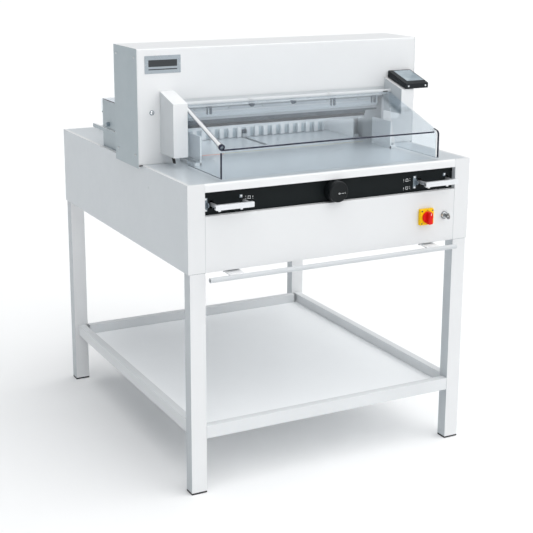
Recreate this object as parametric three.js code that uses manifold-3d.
// Floor-standing electric paper guillotine: a portal with knife, clamp and backgauge over a steel
// table, in a sheet-metal body on a four-leg stand with a shelf.
//
// Millimetres. X runs left to right, Y from the front face of the body to the back, Z up from the
// floor. The whole group is then moved so that its origin is under the middle of the machine.
import * as THREE from "three";
import { mergeVertices } from "three/addons/utils/BufferGeometryUtils.js";
import Module from "manifold-3d";

const wasm = await Module();
wasm.setup();

// ---------------------------------------------------------------- driving dimensions

const GAP = 0.3;
const SHEET = 2;
const GRID = 1000;
const MERGE = 0.005;

const BODY = { half: 491, depth: 1110, bottom: 688, top: 950, rearReturn: 40 };
const REACH = { front: 35, rear: 30 };
const POST = { width: 52.5, foldBack: 18 };
const LIP = 12;
const PAN = { floor: 2, rim: 28, clearance: 4 };

const LEG = { width: 50, depth: 40, wall: 3, inset: 4.5, topPlate: 5 };
const FOOT = { height: 5, plug: 15 };
const RAIL = { width: 25, height: 40, wall: 2, bottom: 174, inset: 19, rearInset: 38 };
const TRAY = { top: 181, sheet: 2, ribWidth: 40, ribHeight: 5, ribs: [-220, 220] };

const BAND = { bottom: 855, top: 925, panel: 3, lip: 15, lap: 13 };
const NOSE = { radius: 6, depth: 24 };
const TABLE = { thickness: 12, half: 478.7, front: 8.5, rear: 1107.4 };
const DRIVE_SLOT = { x: 20, width: 16, front: 500, rear: 1062 };
const SPINDLE_LUG = { half: 15, length: 12, bottom: 885 };
const LOUVRE = { columns: [-260, 260], rows: 7, width: 120, height: 6, pitch: 16, first: 770 };
const GLAND = { x: 380, z: 725, bore: 7, mouth: 8.5, nut: 14, flange: 18 };
const GLAND_STEPS = { flange: 5, nut: 18, dome: 24 };

const GANTRY = { half: 502.5, front: 342, rear: 539, top: 1305, bottom: 953, sideBottom: 940 };
const THROAT = { half: 383, top: 1146, rearHalf: 388, rearTop: 1112, flange: 14 };
const HOOD_BEND = 5;

const CUT_LINE = 415.1;
const BLADE = { thickness: 11.4, bevel: 24, edge: 1038.5, top: 1150, left: -338, right: 351 };
const CARRIER = { depth: 31, bottom: 1064, top: 1176, left: -372, right: 378, step: 6, stepRise: [16, 22] };
const CLAMP = { depth: 45, bottom: 1030.5, height: 88, left: -349, right: 351 };
const CLAMP_ROD = { x: 250, radius: 12, top: 1298, clearance: 1 };
const STICK = { width: 10, depth: 10, half: 350 };

const FRAME = { inner: 400, plate: 12, front: 150, rear: 850, columnFront: 350, columnRear: 530, top: 1288 };
const CROSSBEAM = { front: 410, rear: 490, bottom: 1200, wall: 10 };
const LOWER_BEAM = { front: 385, rear: 435, height: 60 };

const GUARD = { slope: 18, half: 379, sheet: 4, front: 18, bottom: 956, rear: 299, rearZ: 1130.5, bend: 10 };
const GUARD_CHEEK = { rearDrop: 30, layClearance: 5 };
const HINGE = { y: 307, z: 1135, radius: 7, half: 391 };
const STAY_ROD = { radius: 4, x: -372, front: 22, rear: 296 };
const HOUSING = { width: 47, outer: 430, front: 237.5, frontTop: 1147, rearTop: 1175 };
const HOUSING_BOTTOM = { left: 984, right: 1066 };
const DISPLAY = { left: 395, right: 485, front: 232, rear: 341.3, under: [1147.5, 1175.6], over: [1166, 1199] };

const LAY = { wall: 5, foot: 23, footHeight: 9, left: -331, right: 355 };
const FRONT_LAY = { front: 256, rear: 368, top: 1041 };
const REAR_LAY = { front: 500, rear: 1085, top: 1018, setBack: 14 };

const COMB = { half: 341, front: 665, pitch: 34.1, finger: 16, depth: 15, back: 12, top: 1040 };
const COMB_FOOT = { left: -110, right: 150, depth: 28, height: 24 };
const COMB_WINDOW = { half: 9, bottom: 12, top: 26, depth: 11 };
const SPINDLE = { radius: 8, z: 905, front: 475, rear: 1063 };
const NUT = { half: 15, halfHeight: 18, length: 30, setBack: 2, neck: 6 };
const GAUGE_MOTOR = { radius: 32, length: 38, drop: 6, hanger: 6, hangerHalf: 20 };

const TANK = { left: -330, right: -130, front: 560, rear: 720, height: 140, wall: 3 };
const PUMP = { radius: 45, x: -230, y: 640, foot: 130, top: 215 };
const GEARBOX = { left: 120, right: 250, front: 560, rear: 690, height: 120, shaft: 60 };
const DRIVE_MOTOR = { radius: 55, left: 245, right: 385 };
const CRANK = { radius: 22, left: 85, right: 125 };
const CABINET = { left: -340, right: -60, front: 830, rear: 1040, height: 150, wall: 2 };

const LEVER = { centre: 3.5, spacing: 360, z: 885, length: 123, height: 16, front: -35, back: -22 };
const LEVER_ARM = { offset: 52, width: 8, height: 10, pivotY: 26, tail: 4, travel: 24 };
const LEVER_SHAFT = { radius: 3.5, overhang: 12 };
const LEVER_FEET = { offsets: [-48, 22], radius: 4.5, length: 4 };
const KNOB = { x: -4, z: 890, radius: 32.5, front: -21, back: 12, shaft: 6, shaftEnd: 45 };
const SWITCH = { x: 326, z: 776, size: 52, plate: 12, corner: 4 };
const HANDLE = { disc: 19, discDepth: 7, halfWidth: 6.5, halfHeight: 20, front: -34 };
const KEY = { x: 399, z: 773, bore: 10, barrel: 9.4, barrelEnd: 22, collar: 12, nose: -7 };
const KEY_BLADE = { half: 1.2, stemHalf: 4, front: -16, bowRadius: 10, bowY: -23, eyeRadius: 3, eyeY: -26 };
const KNEE = { left: -432, right: 436, radius: 7.5, wall: 1.5, y: -20, z: 670 };
const KNEE_TAB = { x: 345, width: 48, sheet: 4 };
const KNEE_PIVOT = { y: 22, z: 681, radius: 5 };

const REAR_GUARD = { half: 472, front: 540, rear: 733, top: 1104, foot: 16, paneDrop: 46, paneReach: 12 };
const REAR_RAIL = { rear: 818, z: 1007, width: 8, halfHeight: 6 };
const REAR_KNOB = { y: 672, z: 1029, radius: 7, length: 10 };

// ---------------------------------------------------------------- shape helpers

const BASIS = {
  x: [new THREE.Vector3(0, 1, 0), new THREE.Vector3(0, 0, 1), new THREE.Vector3(1, 0, 0)],
  y: [new THREE.Vector3(1, 0, 0), new THREE.Vector3(0, 0, 1), new THREE.Vector3(0, -1, 0)],
  z: [new THREE.Vector3(1, 0, 0), new THREE.Vector3(0, 1, 0), new THREE.Vector3(0, 0, 1)],
};

// A closed three.js geometry as a solid that can be joined and cut. Its vertices are set to a fine
// grid, so that faces meant to lie in one plane do.
function solid(geometry) {
  const bare = geometry.index ? geometry.toNonIndexed() : geometry.clone();
  bare.deleteAttribute("normal");
  bare.deleteAttribute("uv");
  const array = bare.attributes.position.array;
  array.forEach((value, i) => {
    array[i] = Math.round(value * GRID) / GRID;
  });
  const merged = mergeVertices(bare, 1e-4);
  const mesh = new wasm.Mesh({
    numProp: 3,
    vertProperties: merged.attributes.position.array,
    triVerts: new Uint32Array(merged.index.array),
  });
  return new wasm.Manifold(mesh);
}

function fuse(first, ...others) {
  return others.reduce((joined, other) => joined.add(other), first);
}

function cut(base, ...tools) {
  return tools.reduce((left, tool) => left.subtract(tool), base);
}

function box(x0, x1, y0, y1, z0, z1) {
  const geometry = new THREE.BoxGeometry(x1 - x0, y1 - y0, z1 - z0);
  geometry.translate((x0 + x1) / 2, (y0 + y1) / 2, (z0 + z1) / 2);
  return solid(geometry);
}

// Mirrors a pair of X limits to one side of the machine: side is -1 on the left, 1 on the right.
function sideBox(side, inner, outer, y0, y1, z0, z1) {
  const [x0, x1] = side < 0 ? [-outer, -inner] : [inner, outer];
  return box(x0, x1, y0, y1, z0, z1);
}

// Extrudes a flat outline along one axis: the outline is (y, z) for x, (x, z) for y, (x, y) for z.
function prism(axis, outline, from, to) {
  const shape = outline instanceof THREE.Shape ? outline : outlineShape(outline);
  const geometry = new THREE.ExtrudeGeometry(shape, {
    depth: to - from,
    bevelEnabled: false,
    curveSegments: 6,
  });
  geometry.applyMatrix4(new THREE.Matrix4().makeBasis(...BASIS[axis]));
  const start = axis === "y" ? to : from;
  geometry.translate(axis === "x" ? start : 0, axis === "y" ? start : 0, axis === "z" ? start : 0);
  return solid(geometry);
}

function outlineShape(points) {
  return new THREE.Shape(points.map(([u, v]) => new THREE.Vector2(u, v)));
}

// A cylinder along an axis through (a, b), the two other coordinates in X, Y, Z order.
function cylinder(axis, radius, a, b, from, to, segments = 24) {
  const geometry = new THREE.CylinderGeometry(radius, radius, to - from, segments);
  const middle = (from + to) / 2;
  if (axis === "x") geometry.rotateZ(Math.PI / 2).translate(middle, a, b);
  if (axis === "y") geometry.translate(a, middle, b);
  if (axis === "z") geometry.rotateX(Math.PI / 2).translate(a, b, middle);
  return solid(geometry);
}

// A turned shape about an axis along Y: points are (radius, y), in order round the closed profile.
function turned(x, z, points, segments = 32) {
  const profile = points.map(([radius, y]) => new THREE.Vector2(radius, y));
  const geometry = new THREE.LatheGeometry(profile, segments);
  return solid(geometry.translate(x, 0, z));
}

// The outline of a bent sheet: a centreline through points, bent to a radius, and its thickness.
function sheetOutline(points, thickness, bend, steps = 5) {
  const line = points.map(([u, v]) => new THREE.Vector2(u, v));
  const stations = [];
  line.forEach((corner, i) => {
    const before = i > 0 ? corner.clone().sub(line[i - 1]).normalize() : null;
    const after = i < line.length - 1 ? line[i + 1].clone().sub(corner).normalize() : null;
    if (!before || !after) {
      stations.push({ at: corner, along: before || after });
      return;
    }
    const turn = before.angleTo(after);
    const reach = bend * Math.tan(turn / 2);
    const way = Math.sign(before.cross(after));
    const start = corner.clone().addScaledVector(before, -reach);
    const centre = start.clone().add(new THREE.Vector2(-before.y, before.x).multiplyScalar(way * bend));
    for (let step = 0; step <= steps; step += 1) {
      const angle = (way * turn * step) / steps;
      const at = start.clone().rotateAround(centre, angle);
      stations.push({ at, along: before.clone().rotateAround(new THREE.Vector2(), angle) });
    }
  });
  const side = (offset) =>
    stations.map(({ at, along }) => [at.x - along.y * offset, at.y + along.x * offset]);
  return [...side(thickness / 2), ...side(-thickness / 2).reverse()];
}

// A box tube along Z, X or Y, open at both ends.
function boxTubeZ(x0, x1, y0, y1, z0, z1, wall) {
  return cut(
    box(x0, x1, y0, y1, z0, z1),
    box(x0 + wall, x1 - wall, y0 + wall, y1 - wall, z0 - 1, z1 + 1),
  );
}

function boxTubeX(x0, x1, y0, y1, z0, z1, wall) {
  return cut(
    box(x0, x1, y0, y1, z0, z1),
    box(x0 - 1, x1 + 1, y0 + wall, y1 - wall, z0 + wall, z1 - wall),
  );
}

function boxTubeY(x0, x1, y0, y1, z0, z1, wall) {
  return cut(
    box(x0, x1, y0, y1, z0, z1),
    box(x0 + wall, x1 - wall, y0 - 1, y1 + 1, z0 + wall, z1 - wall),
  );
}

// ---------------------------------------------------------------- finishes

const LOOKS = {
  paint: { color: 0xe8eaec, roughness: 0.45, metalness: 0 },
  sidePaint: { color: 0xdfe3e5, roughness: 0.45, metalness: 0 },
  black: { color: 0x1c2022, roughness: 0.55, metalness: 0 },
  rubber: { color: 0x141414, roughness: 0.85, metalness: 0 },
  table: { color: 0xb4bcc2, roughness: 0.32, metalness: 1 },
  steel: { color: 0xc4c9cc, roughness: 0.28, metalness: 1 },
  blade: { color: 0x7d868c, roughness: 0.2, metalness: 1 },
  casting: { color: 0xa9b2b6, roughness: 0.6, metalness: 0 },
  aluminium: { color: 0xd5d8da, roughness: 0.35, metalness: 1 },
  chrome: { color: 0xe6e8ea, roughness: 0.08, metalness: 1 },
  acrylic: { color: 0xbfd0d8, roughness: 0.05, metalness: 0, transparent: true, opacity: 0.3 },
  stick: { color: 0xd8d2bd, roughness: 0.6, metalness: 0 },
  yellow: { color: 0xf2b705, roughness: 0.4, metalness: 0 },
  red: { color: 0xd51a1a, roughness: 0.4, metalness: 0 },
  motor: { color: 0x4a5156, roughness: 0.5, metalness: 0 },
};

const group = new THREE.Group();

// Adds one named mesh, with its own material, made from a solid. Flat faces are merged first.
function part(name, made, look) {
  const mesh = made.asOriginal().simplify(MERGE).getMesh();
  const stride = mesh.numProp;
  const positions = new Float32Array(mesh.numVert * 3);
  for (let i = 0; i < mesh.numVert; i += 1) {
    positions.set(mesh.vertProperties.subarray(i * stride, i * stride + 3), i * 3);
  }
  const geometry = new THREE.BufferGeometry();
  geometry.setAttribute("position", new THREE.BufferAttribute(positions, 3));
  geometry.setIndex(new THREE.BufferAttribute(mesh.triVerts, 1));
  geometry.computeVertexNormals();
  const piece = new THREE.Mesh(geometry, new THREE.MeshStandardMaterial(LOOKS[look]));
  piece.name = name;
  group.add(piece);
}

const SIDES = [
  ["left", -1],
  ["right", 1],
];

// ---------------------------------------------------------------- stand

const LEG_OUTER = BODY.half - LEG.inset;
const LEG_INNER = LEG_OUTER - LEG.width;
const RAIL_TOP = RAIL.bottom + RAIL.height;
const RAIL_OUTER = BODY.half - RAIL.inset;

function addLeg(end, side, sideName) {
  const y0 = end === "front" ? 0 : BODY.depth - LEG.depth;
  const y1 = y0 + LEG.depth;
  const [x0, x1] = side < 0 ? [-LEG_OUTER, -LEG_INNER] : [LEG_INNER, LEG_OUTER];
  const top = BODY.bottom - GAP;
  const tube = boxTubeZ(x0, x1, y0, y1, FOOT.height + GAP, top, LEG.wall);
  const plate = box(x0, x1, y0, y1, top - LEG.topPlate, top);
  part(`leg_${end}_${sideName}`, fuse(tube, plate), "paint");

  const inset = LEG.wall + GAP;
  const pad = box(x0, x1, y0, y1, 0, FOOT.height);
  const plug = box(x0 + inset, x1 - inset, y0 + inset, y1 - inset, 0, FOOT.height + FOOT.plug);
  part(`foot_${end}_${sideName}`, fuse(pad, plug), "rubber");
}

function addShelf() {
  const x = LEG_INNER - GAP;
  const ends = [
    ["front", 0],
    ["rear", BODY.depth - RAIL.width - RAIL.rearInset],
  ];
  for (const [end, y] of ends) {
    const tube = boxTubeX(-x, x, y, y + RAIL.width, RAIL.bottom, RAIL_TOP, RAIL.wall);
    part(`shelf_rail_${end}`, tube, "paint");
  }
  const y0 = LEG.depth + GAP;
  const y1 = BODY.depth - y0;
  for (const [sideName, side] of SIDES) {
    const x0 = side < 0 ? -RAIL_OUTER : RAIL_OUTER - RAIL.width;
    const tube = boxTubeY(x0, x0 + RAIL.width, y0, y1, RAIL.bottom, RAIL_TOP, RAIL.wall);
    part(`shelf_rail_${sideName}`, tube, "paint");
  }

  const half = RAIL_OUTER - RAIL.width - GAP;
  const front = RAIL.width + GAP;
  const rear = ends[1][1] - GAP;
  const sheet = box(-half, half, front, rear, TRAY.top - TRAY.sheet, TRAY.top);
  const notches = SIDES.map(([, side]) =>
    sideBox(side, LEG_INNER - GAP, half + 1, front - 1, LEG.depth + GAP, RAIL.bottom, RAIL_TOP),
  );
  const ribs = TRAY.ribs.map((x0) =>
    box(x0 - TRAY.ribWidth / 2, x0 + TRAY.ribWidth / 2, front, rear, RAIL.bottom, TRAY.top - 1),
  );
  part("shelf_tray", fuse(cut(sheet, ...notches), ...ribs), "paint");
}

for (const [sideName, side] of SIDES) {
  addLeg("front", side, sideName);
  addLeg("rear", side, sideName);
}
addShelf();

// ---------------------------------------------------------------- body

const PAN_HALF = BODY.half - SHEET - GAP;
const POST_INNER = BODY.half - POST.width;
const PANEL_HALF = POST_INNER - SHEET - GAP;
const PAN_TOP = BODY.bottom + PAN.floor + GAP;
const TABLE_UNDER = BODY.top - TABLE.thickness - GAP;

function addBasePan() {
  const y0 = SHEET + GAP;
  const y1 = BODY.depth - SHEET - GAP;
  const z0 = BODY.bottom;
  const rimTop = z0 + PAN.rim;
  const floor = box(-PAN_HALF, PAN_HALF, y0, y1, z0, z0 + PAN.floor);
  const rims = [
    box(-PAN_HALF, PAN_HALF, y0, y0 + SHEET, z0, rimTop),
    box(-PAN_HALF, PAN_HALF, y1 - SHEET, y1, z0, rimTop),
    ...SIDES.map(([, side]) => sideBox(side, PAN_HALF - SHEET, PAN_HALF, y0, y1, z0, rimTop)),
  ];
  part("base_pan", fuse(floor, ...rims), "paint");
}

// One sheet wraps the side: corner post and fold-back at the front, a return at the rear, a lip on top.
function addSidePanel(sideName, side) {
  const { half, depth, bottom, top, rearReturn } = BODY;
  const inner = POST_INNER - SHEET;
  const foldBottom = bottom + PAN.rim + PAN.clearance;
  const wall = sideBox(side, half - SHEET, half, 0, depth, bottom, top);
  const post = sideBox(side, inner, half, 0, SHEET, bottom, top);
  const foldBack = sideBox(side, inner, POST_INNER, 0, POST.foldBack - GAP, foldBottom, TABLE_UNDER);
  const rear = sideBox(side, half - rearReturn, half, depth - SHEET, depth, bottom, top);
  const lip = sideBox(side, half - LIP, half, 0, depth, top - SHEET, top);
  const postTop = sideBox(side, inner, half, 0, TABLE.front - GAP, top - SHEET, top);
  part(`side_panel_${sideName}`, fuse(wall, post, foldBack, rear, lip, postTop), "sidePaint");
}

function addFrontPanel() {
  const back = POST.foldBack - GAP;
  const face = box(-PANEL_HALF, PANEL_HALF, 0, SHEET, BODY.bottom, BAND.bottom);
  const ledge = box(-PANEL_HALF, PANEL_HALF, 0, back, BAND.bottom - SHEET, BAND.bottom);
  const lip = box(-PANEL_HALF, PANEL_HALF, back - SHEET, back, BAND.bottom - BAND.lip, BAND.bottom);
  const lockHole = cylinder("y", KEY.bore, KEY.x, KEY.z, -1, SHEET + 1);
  part("front_panel", cut(fuse(face, ledge, lip), lockHole), "paint");
}

function addTableFrontRail() {
  const top = BODY.top;
  const back = TABLE.front - GAP;
  const bottom = BAND.top + GAP;
  const profile = new THREE.Shape();
  profile.moveTo(0, bottom);
  profile.lineTo(NOSE.depth, bottom);
  profile.lineTo(NOSE.depth, TABLE_UNDER);
  profile.lineTo(back, TABLE_UNDER);
  profile.lineTo(back, top);
  profile.lineTo(NOSE.radius, top);
  profile.absarc(NOSE.radius, top - NOSE.radius, NOSE.radius, Math.PI / 2, Math.PI, false);
  profile.closePath();
  part("table_front_rail", prism("x", profile, -PANEL_HALF, PANEL_HALF), "paint");
}

const LEVERS = SIDES.map(([sideName, side]) => [sideName, LEVER.centre + side * LEVER.spacing]);

function addControlPanel() {
  const y0 = POST.foldBack;
  const y1 = y0 + BAND.panel;
  const plate = box(-PANEL_HALF, PANEL_HALF, y0, y1, BAND.bottom - BAND.lap, BAND.top);
  const slots = LEVERS.flatMap(([, centre]) =>
    [-1, 1].map((end) => {
      const x = centre + end * LEVER_ARM.offset;
      const half = LEVER_ARM.width / 2 + 1;
      const reach = LEVER_ARM.travel;
      return box(x - half, x + half, y0 - 1, y1 + 1, LEVER.z - reach / 2, LEVER.z + reach / 2);
    }),
  );
  const knobHole = cylinder("y", KNOB.shaft + 1, KNOB.x, KNOB.z, y0 - 1, y1 + 1);
  part("control_panel", cut(plate, ...slots, knobHole), "black");
}

function addRearPanel() {
  const half = BODY.half - BODY.rearReturn - GAP;
  const y0 = BODY.depth - SHEET;
  const sheet = box(-half, half, y0, BODY.depth, BODY.bottom, BODY.top - GAP);
  const slots = LOUVRE.columns.flatMap((x) =>
    Array.from({ length: LOUVRE.rows }, (_, row) => {
      const z = LOUVRE.first + row * LOUVRE.pitch;
      return box(x - LOUVRE.width / 2, x + LOUVRE.width / 2, y0 - 1, BODY.depth + 1, z, z + LOUVRE.height);
    }),
  );
  const glandHole = cylinder("y", GLAND.bore, GLAND.x, GLAND.z, y0 - 1, BODY.depth + 1);
  part("rear_panel", cut(sheet, ...slots, glandHole), "paint");

  const y = BODY.depth + GAP;
  const end = BODY.depth + REACH.rear;
  const profile = [
    [GLAND.bore, y],
    [GLAND.flange, y],
    [GLAND.flange, y + GLAND_STEPS.flange],
    [GLAND.nut, y + GLAND_STEPS.flange],
    [GLAND.nut, y + GLAND_STEPS.nut],
    [GLAND.nut - 2, y + GLAND_STEPS.dome],
    [GLAND.mouth, end],
    [GLAND.bore, end],
    [GLAND.bore, y],
  ];
  part("cable_gland", turned(GLAND.x, GLAND.z, profile, 24), "black");
}

addBasePan();
for (const [sideName, side] of SIDES) addSidePanel(sideName, side);
addFrontPanel();
addTableFrontRail();
addControlPanel();
addRearPanel();

// ---------------------------------------------------------------- table and side lays

function addTable() {
  const z1 = BODY.top;
  const z0 = z1 - TABLE.thickness;
  const plate = box(-TABLE.half, TABLE.half, TABLE.front, TABLE.rear, z0, z1);
  const groove = box(
    -STICK.half - GAP,
    STICK.half + GAP,
    CUT_LINE - STICK.width / 2 - GAP,
    CUT_LINE + STICK.width / 2 + GAP,
    z1 - STICK.depth - GAP,
    z1 + 1,
  );
  const slotHalf = DRIVE_SLOT.width / 2;
  const slot = box(
    DRIVE_SLOT.x - slotHalf,
    DRIVE_SLOT.x + slotHalf,
    DRIVE_SLOT.front,
    DRIVE_SLOT.rear,
    z0 - 1,
    z1 + 1,
  );
  const columnHoles = SIDES.map(([, side]) =>
    sideBox(
      side,
      FRAME.inner - 1,
      FRAME.inner + FRAME.plate + 1,
      FRAME.columnFront - 1,
      FRAME.columnRear + 1,
      z0 - 1,
      z1 + 1,
    ),
  );
  const lug = box(
    DRIVE_SLOT.x - SPINDLE_LUG.half,
    DRIVE_SLOT.x + SPINDLE_LUG.half,
    SPINDLE.front - SPINDLE_LUG.length,
    SPINDLE.front - GAP,
    SPINDLE_LUG.bottom,
    z0 + 1,
  );
  part("table", fuse(cut(plate, groove, slot, ...columnHoles), lug), "table");

  const stick = box(
    -STICK.half,
    STICK.half,
    CUT_LINE - STICK.width / 2,
    CUT_LINE + STICK.width / 2,
    z1 - STICK.depth,
    z1,
  );
  part("cutting_stick", stick, "stick");
}

// An L-section rail: a wall whose inner face guides the paper, and a foot that points outwards.
function addLay(name, side, innerFace, { front, rear, top }) {
  const z0 = BODY.top + GAP;
  const inner = Math.abs(innerFace);
  const wall = sideBox(side, inner, inner + LAY.wall, front, rear, z0, top);
  const foot = sideBox(side, inner, inner + LAY.foot, front, rear, z0, z0 + LAY.footHeight);
  part(name, fuse(wall, foot), "aluminium");
}

addTable();
addLay("front_lay_left", -1, LAY.left, FRONT_LAY);
addLay("front_lay_right", 1, LAY.right, FRONT_LAY);
addLay("rear_lay_left", -1, LAY.left - REAR_LAY.setBack, REAR_LAY);
addLay("rear_lay_right", 1, LAY.right + REAR_LAY.setBack / 2, REAR_LAY);

// ---------------------------------------------------------------- machine frame

const CLAMP_FRONT = CUT_LINE + GAP;
const CLAMP_ROD_Y = CLAMP_FRONT + CLAMP.depth / 2;

function addMachineFrame() {
  const outline = [
    [FRAME.front, PAN_TOP],
    [FRAME.rear, PAN_TOP],
    [FRAME.rear, TABLE_UNDER],
    [FRAME.columnRear, TABLE_UNDER],
    [FRAME.columnRear, FRAME.top],
    [FRAME.columnFront, FRAME.top],
    [FRAME.columnFront, TABLE_UNDER],
    [FRAME.front, TABLE_UNDER],
  ];
  const plates = SIDES.map(([, side]) => {
    const x0 = side < 0 ? -FRAME.inner - FRAME.plate : FRAME.inner;
    return prism("x", outline, x0, x0 + FRAME.plate);
  });
  const reach = FRAME.inner + 1;
  const { front, rear, bottom, wall } = CROSSBEAM;
  const crossbeam = boxTubeX(-reach, reach, front, rear, bottom, FRAME.top, wall);
  const rodHoles = SIDES.map(([, side]) => {
    const radius = CLAMP_ROD.radius + CLAMP_ROD.clearance;
    return cylinder("z", radius, side * CLAMP_ROD.x, CLAMP_ROD_Y, bottom - 1, FRAME.top + 1);
  });
  const lowerBeam = box(
    -reach,
    reach,
    LOWER_BEAM.front,
    LOWER_BEAM.rear,
    TABLE_UNDER - LOWER_BEAM.height,
    TABLE_UNDER,
  );
  part("machine_frame", cut(fuse(...plates, crossbeam, lowerBeam), ...rodHoles), "casting");
}

addMachineFrame();

// ---------------------------------------------------------------- knife and clamp

function addKnife() {
  const face = CUT_LINE - GAP / 2;
  const front = face - BLADE.thickness;
  const bevelTop = BLADE.edge + BLADE.thickness / Math.tan(THREE.MathUtils.degToRad(BLADE.bevel));
  const section = [
    [face, BLADE.edge],
    [face, BLADE.top],
    [front, BLADE.top],
    [front, bevelTop],
  ];
  part("blade", prism("x", section, BLADE.left, BLADE.right), "blade");

  const back = front - GAP;
  const nose = back - CARRIER.depth;
  const [stepLow, stepHigh] = CARRIER.stepRise;
  const carrier = [
    [back, CARRIER.bottom],
    [back, CARRIER.top],
    [nose, CARRIER.top],
    [nose, CARRIER.bottom + stepHigh],
    [nose + CARRIER.step, CARRIER.bottom + stepLow],
    [nose + CARRIER.step, CARRIER.bottom],
  ];
  part("knife_carrier", prism("x", carrier, CARRIER.left, CARRIER.right), "casting");
}

function addClampBeam() {
  const top = CLAMP.bottom + CLAMP.height;
  const beam = box(CLAMP.left, CLAMP.right, CLAMP_FRONT, CLAMP_FRONT + CLAMP.depth, CLAMP.bottom, top);
  const rods = SIDES.map(([, side]) =>
    cylinder("z", CLAMP_ROD.radius, side * CLAMP_ROD.x, CLAMP_ROD_Y, top - 5, CLAMP_ROD.top),
  );
  part("clamp_beam", fuse(beam, ...rods), "steel");
}

addKnife();
addClampBeam();

// ---------------------------------------------------------------- portal covers

function addHood() {
  const half = GANTRY.half - SHEET - GAP;
  const middle = SHEET / 2;
  const bend = sheetOutline(
    [
      [GANTRY.front + middle, THROAT.top],
      [GANTRY.front + middle, GANTRY.top - middle],
      [GANTRY.rear, GANTRY.top - middle],
    ],
    SHEET,
    HOOD_BEND - middle,
    4,
  );
  const shell = prism("x", bend, -half, half);
  const y0 = GANTRY.front;
  const pieces = SIDES.flatMap(([, side]) => [
    sideBox(side, THROAT.half, half, y0, y0 + SHEET, GANTRY.bottom, THROAT.top + 1),
    sideBox(side, THROAT.half, THROAT.half + SHEET, y0, y0 + THROAT.flange, GANTRY.bottom, THROAT.top + SHEET),
  ]);
  const reach = THROAT.half + 1;
  const lintel = box(-reach, reach, y0, y0 + THROAT.flange, THROAT.top, THROAT.top + SHEET);
  part("hood", fuse(shell, ...pieces, lintel), "paint");
}

function addSideCover(sideName, side) {
  const { front, rear, top, sideBottom, half } = GANTRY;
  const outline = new THREE.Shape();
  outline.moveTo(front, sideBottom);
  outline.lineTo(rear, sideBottom);
  outline.lineTo(rear, top);
  outline.lineTo(front + HOOD_BEND, top);
  outline.absarc(front + HOOD_BEND, top - HOOD_BEND, HOOD_BEND, Math.PI / 2, Math.PI, false);
  outline.closePath();
  const x0 = side < 0 ? -half : half - SHEET;
  part(`gantry_side_${sideName}`, prism("x", outline, x0, x0 + SHEET), "sidePaint");
}

function addRearCover() {
  const half = GANTRY.half - SHEET - GAP;
  const y1 = GANTRY.rear;
  const sheet = box(-half, half, y1 - SHEET, y1, GANTRY.bottom, GANTRY.top - SHEET - GAP);
  const opening = box(
    -THROAT.rearHalf,
    THROAT.rearHalf,
    y1 - SHEET - 1,
    y1 + 1,
    GANTRY.bottom - 1,
    THROAT.rearTop,
  );
  part("gantry_rear_cover", cut(sheet, opening), "paint");
}

// A folded housing with a sloping top, open towards the hood, with a hole for the hinge bar.
function addHousing(sideName, side) {
  const back = GANTRY.front - GAP;
  const bottom = HOUSING_BOTTOM[sideName];
  const slope = (HOUSING.rearTop - HOUSING.frontTop) / (back - HOUSING.front);
  const outline = (inset, y1) => [
    [HOUSING.front + inset, bottom + inset],
    [y1, bottom + inset],
    [y1, HOUSING.rearTop - inset + slope * (y1 - back)],
    [HOUSING.front + inset, HOUSING.frontTop - inset + slope * inset],
  ];
  const inner = HOUSING.outer - HOUSING.width;
  const [x0, x1] = side < 0 ? [-HOUSING.outer, -inner] : [inner, HOUSING.outer];
  const shell = cut(
    prism("x", outline(0, back), x0, x1),
    prism("x", outline(SHEET, back + 1), x0 + SHEET, x1 - SHEET),
  );
  const pivotHole = cylinder(
    "x",
    HINGE.radius + GAP,
    HINGE.y,
    HINGE.z,
    side * inner - 2 * SHEET,
    side * inner + 2 * SHEET,
  );
  part(`guard_housing_${sideName}`, cut(shell, pivotHole), "paint");
}

function addDisplay() {
  const [frontUnder, rearUnder] = DISPLAY.under;
  const [frontOver, rearOver] = DISPLAY.over;
  const outline = [
    [DISPLAY.front, frontUnder],
    [DISPLAY.rear, rearUnder],
    [DISPLAY.rear, rearOver],
    [DISPLAY.front, frontOver],
  ];
  part("display", prism("x", outline, DISPLAY.left, DISPLAY.right), "black");
}

addHood();
for (const [sideName, side] of SIDES) {
  addSideCover(sideName, side);
  addHousing(sideName, side);
}
addRearCover();
addDisplay();

// ---------------------------------------------------------------- front guard

const SLOPE = Math.tan(THREE.MathUtils.degToRad(GUARD.slope));

// Height of the sloping pane's centreline at a distance back from the front.
function paneHeight(y) {
  return GUARD.rearZ - (GUARD.rear - y) * SLOPE;
}

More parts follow.
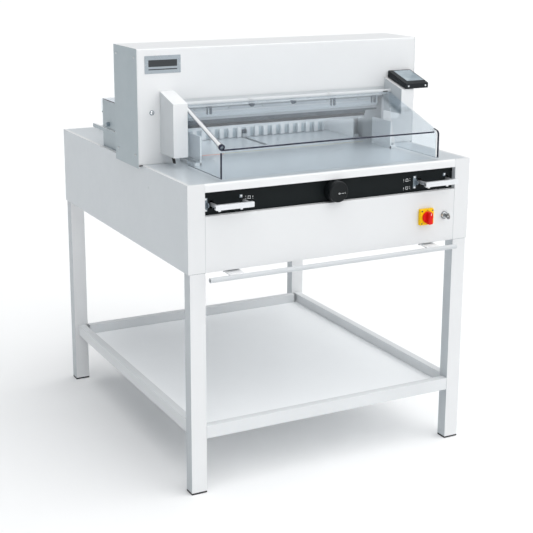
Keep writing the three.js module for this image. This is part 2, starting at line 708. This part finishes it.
function addGuard() {
  const path = [
    [GUARD.rear, GUARD.rearZ],
    [GUARD.front, paneHeight(GUARD.front)],
    [GUARD.front, GUARD.bottom],
  ];
  const paneHalf = GUARD.half - GUARD.sheet - GAP;
  part("guard_pane", prism("x", sheetOutline(path, GUARD.sheet, GUARD.bend), -paneHalf, paneHalf), "acrylic");

  const edge = sheetOutline(path, GUARD.sheet, GUARD.bend);
  const outside = edge.slice(edge.length / 2);
  const cheek = [
    ...outside,
    [GUARD.rear, GUARD.rearZ - GUARD_CHEEK.rearDrop],
    [FRONT_LAY.front - GUARD_CHEEK.layClearance, GUARD.bottom],
  ];
  for (const [sideName, side] of SIDES) {
    const x0 = side < 0 ? -GUARD.half : GUARD.half - GUARD.sheet;
    part(`guard_cheek_${sideName}`, prism("x", cheek, x0, x0 + GUARD.sheet), "acrylic");
  }

  part("guard_hinge_bar", cylinder("x", HINGE.radius, HINGE.y, HINGE.z, -HINGE.half, HINGE.half), "paint");

  const lift = GUARD.sheet / 2 + STAY_ROD.radius + GAP;
  const angle = THREE.MathUtils.degToRad(GUARD.slope);
  const start = new THREE.Vector3(STAY_ROD.x, STAY_ROD.front, paneHeight(STAY_ROD.front));
  const end = new THREE.Vector3(STAY_ROD.x, STAY_ROD.rear, paneHeight(STAY_ROD.rear));
  const normal = new THREE.Vector3(0, -Math.sin(angle), Math.cos(angle)).multiplyScalar(lift);
  const rod = new THREE.CylinderGeometry(STAY_ROD.radius, STAY_ROD.radius, start.distanceTo(end), 16);
  rod.rotateX(angle);
  const middle = start.clone().add(end).multiplyScalar(0.5).add(normal);
  rod.translate(middle.x, middle.y, middle.z);
  part("guard_stay_rod", solid(rod), "chrome");
}

addGuard();

// ---------------------------------------------------------------- backgauge and its drive

function addBackgauge() {
  const z0 = BODY.top + 1;
  const backFront = COMB.front + COMB.depth;
  const backRear = backFront + COMB.back;
  const wall = box(-COMB.half, COMB.half, backFront - 1, backRear, z0, COMB.top);
  const count = Math.round((2 * COMB.half) / COMB.pitch) + 1;
  const fingers = Array.from({ length: count }, (_, i) => {
    const middle = -COMB.half + i * COMB.pitch;
    const x0 = Math.max(-COMB.half, middle - COMB.finger / 2);
    const x1 = Math.min(COMB.half, middle + COMB.finger / 2);
    return box(x0, x1, COMB.front, backFront, z0, COMB.top);
  });
  const footRear = backRear + COMB_FOOT.depth;
  const foot = box(COMB_FOOT.left, COMB_FOOT.right, backRear - 1, footRear, z0, z0 + COMB_FOOT.height);

  const { x } = DRIVE_SLOT;
  const { z } = SPINDLE;
  const windowBottom = z0 + COMB_WINDOW.bottom;
  const windowFront = COMB.front - 1;
  const window = box(
    x - COMB_WINDOW.half,
    x + COMB_WINDOW.half,
    windowFront,
    COMB.front + COMB_WINDOW.depth,
    windowBottom,
    z0 + COMB_WINDOW.top,
  );
  const nutFront = COMB.front + NUT.setBack;
  const nutRear = nutFront + NUT.length;
  const neck = box(x - NUT.neck, x + NUT.neck, nutFront, nutRear, z, windowBottom);
  const nut = box(x - NUT.half, x + NUT.half, nutFront, nutRear, z - NUT.halfHeight, z + NUT.halfHeight);
  const bore = cylinder("y", SPINDLE.radius + GAP, x, z, nutFront - 1, nutRear + 1);
  const made = fuse(cut(fuse(wall, ...fingers), window), foot, neck, nut);
  part("backgauge", cut(made, bore), "aluminium");

  const shaft = cylinder("y", SPINDLE.radius, x, z, SPINDLE.front, SPINDLE.rear);
  part("backgauge_spindle", shaft, "steel");

  const motorFront = SPINDLE.rear + GAP;
  const motorRear = motorFront + GAUGE_MOTOR.length;
  const motor = cylinder("y", GAUGE_MOTOR.radius, x, z - GAUGE_MOTOR.drop, motorFront, motorRear);
  const hanger = box(
    x - GAUGE_MOTOR.hangerHalf,
    x + GAUGE_MOTOR.hangerHalf,
    motorFront,
    motorFront + GAUGE_MOTOR.hanger,
    z,
    TABLE_UNDER,
  );
  part("backgauge_motor", fuse(motor, hanger), "motor");
}

// ---------------------------------------------------------------- power units under the table

// A sheet-metal box on the base pan, open underneath.
function cover({ left, right, front, rear, height, wall }) {
  return cut(
    box(left, right, front, rear, PAN_TOP, PAN_TOP + height),
    box(left + wall, right - wall, front + wall, rear - wall, PAN_TOP - 1, PAN_TOP + height - wall),
  );
}

function addUnits() {
  const pump = cylinder("z", PUMP.radius, PUMP.x, PUMP.y, PAN_TOP + PUMP.foot, PAN_TOP + PUMP.top);
  part("hydraulic_unit", fuse(cover(TANK), pump), "motor");

  const { left, right, front, rear, height, shaft } = GEARBOX;
  const gearbox = box(left, right, front, rear, PAN_TOP, PAN_TOP + height);
  const shaftY = (front + rear) / 2;
  const [motor, crank] = [DRIVE_MOTOR, CRANK].map((drum) =>
    cylinder("x", drum.radius, shaftY, PAN_TOP + shaft, drum.left, drum.right),
  );
  part("blade_drive", fuse(gearbox, motor, crank), "motor");

  part("electrics_box", cover(CABINET), "sidePaint");
}

addBackgauge();
addUnits();

// ---------------------------------------------------------------- controls

function addLever(sideName, centre) {
  const half = LEVER.length / 2;
  const { z } = LEVER;
  const z0 = z - LEVER.height / 2;
  const bar = box(centre - half, centre + half, LEVER.front, LEVER.back, z0, z0 + LEVER.height);

  const halfWidth = LEVER_ARM.width / 2;
  const halfHeight = LEVER_ARM.height / 2;
  const armRear = LEVER_ARM.pivotY + LEVER_ARM.tail;
  const arms = [-1, 1].map((end) => {
    const x = centre + end * LEVER_ARM.offset;
    return box(x - halfWidth, x + halfWidth, LEVER.back - 1, armRear, z - halfHeight, z + halfHeight);
  });

  const reach = LEVER_ARM.offset + LEVER_SHAFT.overhang;
  const shaft = cylinder("x", LEVER_SHAFT.radius, LEVER_ARM.pivotY, z, centre - reach, centre + reach, 16);

  const feet = LEVER_FEET.offsets.map((offset) => {
    const middle = (LEVER.front + LEVER.back) / 2;
    return cylinder("z", LEVER_FEET.radius, centre + offset, middle, z0 - LEVER_FEET.length, z0 + 1, 16);
  });
  part(`lever_${sideName}`, fuse(bar, ...arms, shaft, ...feet), "steel");
}

function addKnob() {
  const { x, z, radius, front, back, shaft, shaftEnd } = KNOB;
  const profile = [
    [0, front],
    [radius - 5, front],
    [radius - 1, front + 2],
    [radius, front + 6],
    [radius, back],
    [shaft, back],
    [shaft, shaftEnd],
    [0, shaftEnd],
  ];
  part("jog_knob", turned(x, z, profile, 48), "black");
}

function roundedSquare(x, z, half, corner) {
  const shape = new THREE.Shape();
  const turns = [
    [1, 1],
    [-1, 1],
    [-1, -1],
    [1, -1],
  ];
  turns.forEach(([sx, sz], i) => {
    const start = (i * Math.PI) / 2;
    shape.absarc(x + sx * (half - corner), z + sz * (half - corner), corner, start, start + Math.PI / 2, false);
  });
  shape.closePath();
  return shape;
}

function addSwitch() {
  const { x, z, size, plate, corner } = SWITCH;
  part("switch_plate", prism("y", roundedSquare(x, z, size / 2, corner), -plate - GAP, -GAP), "yellow");

  const face = -plate - 2 * GAP;
  const disc = cylinder("y", HANDLE.disc, x, z, face - HANDLE.discDepth, face);
  const grip = box(
    x - HANDLE.halfWidth,
    x + HANDLE.halfWidth,
    HANDLE.front,
    face - 1,
    z - HANDLE.halfHeight,
    z + HANDLE.halfHeight,
  );
  part("switch_handle", fuse(disc, grip), "red");
}

function addKeySwitch() {
  const { x, z, barrel, barrelEnd, collar, nose } = KEY;
  const profile = [
    [0, nose],
    [collar - 4, nose],
    [collar - 3, nose + 2],
    [collar, nose + 3.5],
    [collar, -GAP],
    [barrel, -GAP],
    [barrel, barrelEnd],
    [0, barrelEnd],
  ];
  const body = turned(x, z, profile, 32);
  const { half, stemHalf, front, bowRadius, bowY, eyeRadius, eyeY } = KEY_BLADE;
  const stem = box(x - half, x + half, front, nose + 1, z - stemHalf, z + stemHalf);
  const bow = cylinder("x", bowRadius, bowY, z, x - half, x + half);
  const eye = cylinder("x", eyeRadius, eyeY, z, x - 2 * half, x + 2 * half, 16);
  part("key_switch", cut(fuse(body, stem, bow), eye), "chrome");
}

// A round tube carried on two flat arms, which turn on pins at their rear ends.
function addKneeBar() {
  const { left, right, radius, wall, y, z } = KNEE;
  const { sheet } = KNEE_TAB;
  const tube = cylinder("x", radius, y, z, left, right);
  const bore = cylinder("x", radius - wall, y, z, left - 1, right + 1);
  const arms = SIDES.flatMap(([, side]) => {
    const x0 = side * KNEE_TAB.x - KNEE_TAB.width / 2;
    const x1 = side * KNEE_TAB.x + KNEE_TAB.width / 2;
    const armFront = y - radius / 2;
    const armTop = z + radius + sheet / 2;
    const outline = [
      [armFront, armTop - sheet],
      [KNEE_PIVOT.y, KNEE_PIVOT.z - sheet / 2],
      [KNEE_PIVOT.y, KNEE_PIVOT.z + sheet / 2],
      [armFront, armTop],
    ];
    return [
      prism("x", outline, x0, x1),
      cylinder("x", KNEE_PIVOT.radius, KNEE_PIVOT.y, KNEE_PIVOT.z, x0, x1, 16),
    ];
  });
  part("knee_bar", fuse(cut(tube, bore), ...arms), "paint");
}

for (const [sideName, centre] of LEVERS) addLever(sideName, centre);
addKnob();
addSwitch();
addKeySwitch();
addKneeBar();

// ---------------------------------------------------------------- rear guard

function addRearGuard() {
  const { half, front, rear, top, foot, paneDrop, paneReach } = REAR_GUARD;
  const outer = half + SHEET;
  const z0 = BODY.top + GAP;
  for (const [sideName, side] of SIDES) {
    const plate = sideBox(side, half, outer, front, rear, z0, top);
    const flange = sideBox(side, half - foot, outer, front, rear, z0, z0 + SHEET);
    const railBottom = REAR_RAIL.z - REAR_RAIL.halfHeight;
    const railTop = REAR_RAIL.z + REAR_RAIL.halfHeight;
    const rail = sideBox(side, half, half + REAR_RAIL.width, front, REAR_RAIL.rear, railBottom, railTop);
    const knobMiddle = side * (half + 1 + REAR_KNOB.length / 2);
    const knobEnds = [knobMiddle - REAR_KNOB.length / 2, knobMiddle + REAR_KNOB.length / 2];
    const knob = cylinder("x", REAR_KNOB.radius, REAR_KNOB.y, REAR_KNOB.z, ...knobEnds);
    part(`rear_guard_cheek_${sideName}`, fuse(plate, flange, rail, knob), "paint");
  }
  const paneZ = top + GAP + GUARD.sheet / 2;
  const path = [
    [front, paneZ],
    [rear + paneReach, paneZ],
    [rear + paneReach, paneZ - paneDrop],
  ];
  const outline = sheetOutline(path, GUARD.sheet, GUARD.bend);
  part("rear_guard_pane", prism("x", outline, -outer, outer), "acrylic");
}

addRearGuard();

// The origin is on the floor, under the middle of the machine's whole length.
group.position.y = -(BODY.depth + REACH.rear - REACH.front) / 2;

export default group;
